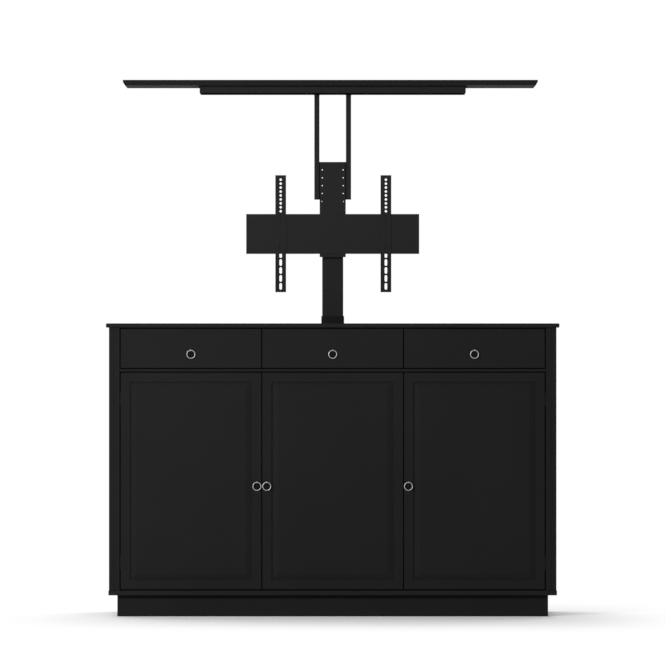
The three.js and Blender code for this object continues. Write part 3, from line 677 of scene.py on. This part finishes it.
def add_arm_fixings(side, sign):
    low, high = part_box(f"lid_arm_{side}")
    spine_low, spine_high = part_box("spine_channel")
    lap = spine_high.z - low.z
    y = spine_low.y + ARM_BOLT_BACK
    bolt_face = sign * (spine_high.x + ARM_GAP + ARM_SHEET)
    parts = []
    for share in ARM_BOLT_SHARES:
        parts += hex_bolt(Vector((bolt_face, y, low.z + lap * share)), RIGHT * sign, **ARM_BOLT)
    slot_x = sign * (spine_high.x + ARM_GAP / 2)
    shim = thin_section(ARM_GAP - FILL_PLAY, SHIM_DEPTH)
    parts.append(bar(shim, Vector((slot_x, y, low.z + SHIM_INSET)), UP, lap - 2 * SHIM_INSET))
    # The bead is painted shade: a dark strip that deepens the line between arm and spine
    bead = thin_section(BEAD_WIDTH, BEAD_DEPTH)
    bead_y = spine_low.y - BEAD_PLAY - BEAD_DEPTH / 2
    parts.append(bar(bead, Vector((slot_x, bead_y, low.z)), UP, lap))
    add_piece(f"arm_fixings_{side}", parts, "dark_steel", "inner_stage")
    foot = Vector(((low.x + high.x) / 2, low.y, high.z - FOOT_THICKNESS / 2))
    cap = round_rectangle(high.x - low.x, FOOT_THICKNESS, FOOT_CAP_CORNER, steps=3)
    add_piece(f"arm_foot_cap_{side}", [bar(cap, foot, FRONT, FOOT_CAP)], "dark_steel", "inner_stage")


# Seals on the boards that close the screen bay, in the fine gap under the top board
SEAT_GAP = 0.3 * MM
SEAL_INSETS = (("bay_partition", 0.5 * MM), ("back_panel", 2 * MM))


def add_seals():
    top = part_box("top_board")[0].z
    parts = []
    for node, inset in SEAL_INSETS:
        low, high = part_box(node)
        seal = thin_section(high.y - low.y - 2 * inset, SEAT_GAP - FILL_PLAY)
        seat = Vector((low.x, (low.y + high.y) / 2, (high.z + top) / 2))
        parts.append(bar(seal, seat, RIGHT, high.x - low.x))
    add_piece("bay_seals", parts, "inside_paint", "root")


# Fillers in the slots between the side panels and their linings, a little wider near the front
STILE_FILL_SHARE = 0.9
STILE_FILL_DEPTH = 12 * MM
STILE_FILL_BACK = 0.8 * MM
STILE_FILL_INSET = 2 * MM


def add_stile_filler(side, sign):
    low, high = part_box(f"side_lining_{side}")
    face = high.x if sign > 0 else low.x
    half = SEAT_GAP * STILE_FILL_SHARE / 2
    nose = -SEAT_GAP / 3
    outline = [(-half, STILE_FILL_DEPTH), (half, STILE_FILL_DEPTH), (2 * half, 0),
               (half, nose), (-half, nose), (-2 * half, 0)]
    foot = Vector((face + sign * SEAT_GAP / 2, low.y + STILE_FILL_BACK, low.z + STILE_FILL_INSET))
    strip = bar(outline, foot, UP, high.z - low.z - 2 * STILE_FILL_INSET)
    add_piece(f"stile_filler_{side}", [strip], "paint", "root")


# Dark strip round the stiffener, just under the lid: painted shade, the dark shadow line under the lid
STRIP_HEIGHT = 2.0 * MM
STRIP_WALL = 4.0 * MM
STRIP_GAP = 0.1 * MM
STRIP_CORNER = 1.5 * MM


def add_lid_shade_strip():
    low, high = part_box("lid_stiffener")
    width, depth = high.x - low.x, high.y - low.y
    foot = Vector(((low.x + high.x) / 2, (low.y + high.y) / 2, high.z - STRIP_HEIGHT))
    shell = [round_rectangle(width + 2 * grow, depth + 2 * grow, STRIP_CORNER, steps=4)
             for grow in (STRIP_GAP + STRIP_WALL, STRIP_GAP)]
    add_piece("lid_shade_strip", [bezel(*shell, foot, UP, STRIP_HEIGHT)], "dark_steel", "inner_stage")


# Screws up through the lid plate into the stiffener
LID_SCREW = mm(4.5, 0.4)
LID_SCREW_COUNT = 6
LID_SCREW_END_SHARE = 0.04
LID_SCREW_INSET = 16 * MM


def add_lid_screws():
    low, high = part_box("lid_plate")
    end = (high.x - low.x) * LID_SCREW_END_SHARE
    parts = []
    for x in spaced(low.x + end, high.x - end, LID_SCREW_COUNT):
        for y in (low.y + LID_SCREW_INSET, high.y - LID_SCREW_INSET):
            parts.append(screw_head(Vector((x, y, low.z)), DOWN, *LID_SCREW))
    add_piece("lid_plate_screws", parts, "dark_steel", "inner_stage")


# Screws round the edge of the back panel
BACK_SCREW = mm(3.8, 0.9)
BACK_SCREW_INSET = 9 * MM
BACK_SCREW_END = 30 * MM
BACK_SCREW_COLUMNS = 7
BACK_SCREW_ROWS = 5


def add_back_screws():
    low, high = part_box("back_panel")
    spots = []
    for x in spaced(low.x + BACK_SCREW_END, high.x - BACK_SCREW_END, BACK_SCREW_COLUMNS):
        spots += [(x, low.z + BACK_SCREW_INSET), (x, high.z - BACK_SCREW_INSET)]
    for z in spaced(low.z, high.z, BACK_SCREW_ROWS)[1:-1]:
        spots += [(low.x + BACK_SCREW_INSET, z), (high.x - BACK_SCREW_INSET, z)]
    parts = [screw_head(Vector((x, high.y, z)), BACK, *BACK_SCREW) for x, z in spots]
    add_piece("back_panel_screws", parts, "dark_steel", "root")


# Motor: screws in the top of its gearbox, and two clamp rings round its can
GEARBOX_HEIGHT = 62 * MM
MOTOR_SCREW = mm(3.6, 2.4)
MOTOR_SCREW_INSET = 7 * MM
MOTOR_CAN_INSET = 2 * MM
CLAMP_RISES = mm(18, 72)
CLAMP_PROFILE = (mm(-1, 0), mm(0.5, 0.4), mm(0.5, 3.2), mm(-1, 3.6))
CLAMP_STEPS = 48


def add_motor_details():
    low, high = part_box("lift_motor")
    gearbox_top = low.z + GEARBOX_HEIGHT
    parts = [screw_head(Vector((x, y, gearbox_top)), UP, *MOTOR_SCREW, socket_recess)
             for x, y in inset_corners(low, high, MOTOR_SCREW_INSET)]
    axis = Vector(((low.x + high.x) / 2, (low.y + high.y) / 2, gearbox_top))
    radius = (high.x - low.x) / 2 - MOTOR_CAN_INSET
    clamp = [(radius + a, b) for a, b in CLAMP_PROFILE]
    parts += [turned(clamp, axis + UP * rise, UP, CLAMP_STEPS, closed=True) for rise in CLAMP_RISES]
    add_piece("motor_details", parts, "dark_steel", "root")


# Control box: lid screws, the bezels of the mains inlet and three outlets, and the inlet's pins.
# Rectangles are width, height and corner
CONTROL_SCREW = mm(3.4, 1.4)
CONTROL_SCREW_INSET = 10 * MM
SOCKET_RISE = 22 * MM
INLET_INSET = 52 * MM
INLET_OUTER = mm(34, 26, 3)
INLET_INNER = mm(28, 20, 1.5)
INLET_RIM = 1.6 * MM
OUTLET_INSET = 92.5 * MM
OUTLET_PITCH = 24 * MM
OUTLET_COUNT = 3
OUTLET_OUTER = mm(17, 14, 2)
OUTLET_INNER = mm(13, 10, 1)
OUTLET_RIM = 1.2 * MM
INLET_PIN = mm(2, 4, 0.6)
INLET_PIN_PLACES = (mm(-7, -2), mm(0, 3), mm(7, -2))
INLET_PIN_BACK = 16 * MM
INLET_PIN_LENGTH = 12 * MM


def add_control_details():
    low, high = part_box("control_box")
    parts = [screw_head(Vector((x, y, high.z)), UP, *CONTROL_SCREW)
             for x, y in inset_corners(low, high, CONTROL_SCREW_INSET)]
    add_piece("control_box_screws", parts, "dark_steel", "root")

    inlet = Vector((high.x - INLET_INSET, low.y, low.z + SOCKET_RISE))
    sockets = [bezel(round_rectangle(*INLET_OUTER), round_rectangle(*INLET_INNER), inlet, FRONT, INLET_RIM)]
    for i in range(OUTLET_COUNT):
        outlet = Vector((high.x - OUTLET_INSET - OUTLET_PITCH * i, low.y, inlet.z))
        sockets.append(bezel(round_rectangle(*OUTLET_OUTER), round_rectangle(*OUTLET_INNER),
                             outlet, FRONT, OUTLET_RIM))
    add_piece("control_box_sockets", sockets, "motor_plastic", "root")

    pin = round_rectangle(*INLET_PIN, steps=3)
    pins = [bar(pin, inlet + BACK * INLET_PIN_BACK + RIGHT * x + UP * z, FRONT, INLET_PIN_LENGTH)
            for x, z in INLET_PIN_PLACES]
    add_piece("mains_inlet_pins", pins, "hinge_metal", "root")


def add_details():
    for name in PULLS:
        add_pull(name)
    for name in FRONTS:
        add_hinge_cups(name)
        add_hinge_screws(name)
        add_shelf_pins(name)
        add_drawer_screws(name)
    add_glide("outer_glide", "column_outer", "column_middle", "root")
    add_glide("middle_glide", "column_middle", "column_inner", "middle_stage")
    add_lift_bolts()
    add_plate_bolts()
    for side, sign in SIDES:
        add_rail_bolts(side)
        add_arm_fixings(side, sign)
    add_seals()
    for side, sign in SIDES:
        add_stile_filler(side, sign)
    add_lid_shade_strip()
    add_lid_screws()
    add_back_screws()
    add_motor_details()
    add_control_details()


# Light Path, so that the camera, metal and glass all meet the same white surround
def seen_directly(tree):
    path = tree.nodes.new("ShaderNodeLightPath")
    seen = path.outputs["Is Camera Ray"]
    for kind in ("Is Glossy Ray", "Is Transmission Ray"):
        seen = maths(tree, "MAXIMUM", seen, path.outputs[kind])
    return seen


# How far a place on the floor lies from the cabinet's footprint, with its own scale each way
def footprint_distance(tree):
    low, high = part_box("plinth_frame")
    position = tree.nodes.new("ShaderNodeNewGeometry").outputs["Position"]
    steps = (("ABSOLUTE", None), ("SUBTRACT", (high.x, high.y, 0)), ("MAXIMUM", (0, 0, 0)),
             ("MULTIPLY", (GLOW_SIDEWAYS, GLOW_FORWARD, 1)))
    for operation, value in steps:
        node = tree.nodes.new("ShaderNodeVectorMath")
        node.operation = operation
        tree.links.new(position, node.inputs[0])
        if value:
            node.inputs[1].default_value = value
        position = node.outputs["Vector"]
    length = tree.nodes.new("ShaderNodeVectorMath")
    length.operation = "LENGTH"
    tree.links.new(position, length.inputs[0])
    return length.outputs["Value"]


# Pale floor: it keeps the shadow beside the cabinet and turns to the white surround further out
def add_floor():
    mesh = bpy.data.meshes.new("floor")
    r = FLOOR_REACH
    mesh.from_pydata([(-r, -r, 0), (r, -r, 0), (r, r, 0), (-r, r, 0)], [], [(0, 1, 2, 3)])
    floor = bpy.data.objects.new("floor", mesh)
    bpy.context.collection.objects.link(floor)
    material, tree, shader = new_material("pale_floor")
    shader.inputs["Base Color"].default_value = (FLOOR_TONE, FLOOR_TONE, FLOOR_TONE, 1)
    shader.inputs["Roughness"].default_value = FLOOR_ROUGHNESS
    shader.inputs["Specular IOR Level"].default_value = FLOOR_SPECULAR
    glow = tree.nodes.new("ShaderNodeEmission")
    glow.inputs["Color"].default_value = (1, 1, 1, 1)
    spread = map_range(tree, footprint_distance(tree), SHADOW_GLOW, 1.0, 0, SHADOW_REACH, "SMOOTHSTEP")
    mix = tree.nodes.new("ShaderNodeMixShader")
    tree.links.new(maths(tree, "MULTIPLY", seen_directly(tree), spread), mix.inputs["Fac"])
    tree.links.new(shader.outputs["BSDF"], mix.inputs[1])
    tree.links.new(glow.outputs["Emission"], mix.inputs[2])
    tree.links.new(mix.outputs["Shader"], tree.nodes["Material Output"].inputs["Surface"])
    mesh.materials.append(material)


def add_world():
    world = bpy.data.worlds.new("studio")
    bpy.context.scene.world = world
    world.use_nodes = True
    tree = world.node_tree
    background = tree.nodes["Background"]
    background.inputs["Color"].default_value = (1, 1, 1, 1)
    strength = map_range(tree, seen_directly(tree), WORLD_LEVEL, 1.0, 0, 1)
    tree.links.new(strength, background.inputs["Strength"])


def add_lamp(name, place, aim, size, watts):
    data = bpy.data.lights.new(name, "AREA")
    data.shape = "RECTANGLE"
    data.size, data.size_y = size
    data.energy = watts
    lamp = bpy.data.objects.new(name, data)
    lamp.location = place
    lamp.rotation_euler = (Vector(aim) - Vector(place)).to_track_quat("-Z", "Y").to_euler()
    bpy.context.collection.objects.link(lamp)


bpy.context.scene.view_settings.view_transform = "Standard"
add_camera()
add_world()
add_lamp("key", KEY_PLACE, KEY_AIM, KEY_SIZE, KEY_WATTS)
add_lamp("back", BACK_PLACE, BACK_AIM, BACK_SIZE, BACK_WATTS)
add_floor()
dress_nodes()
add_details()
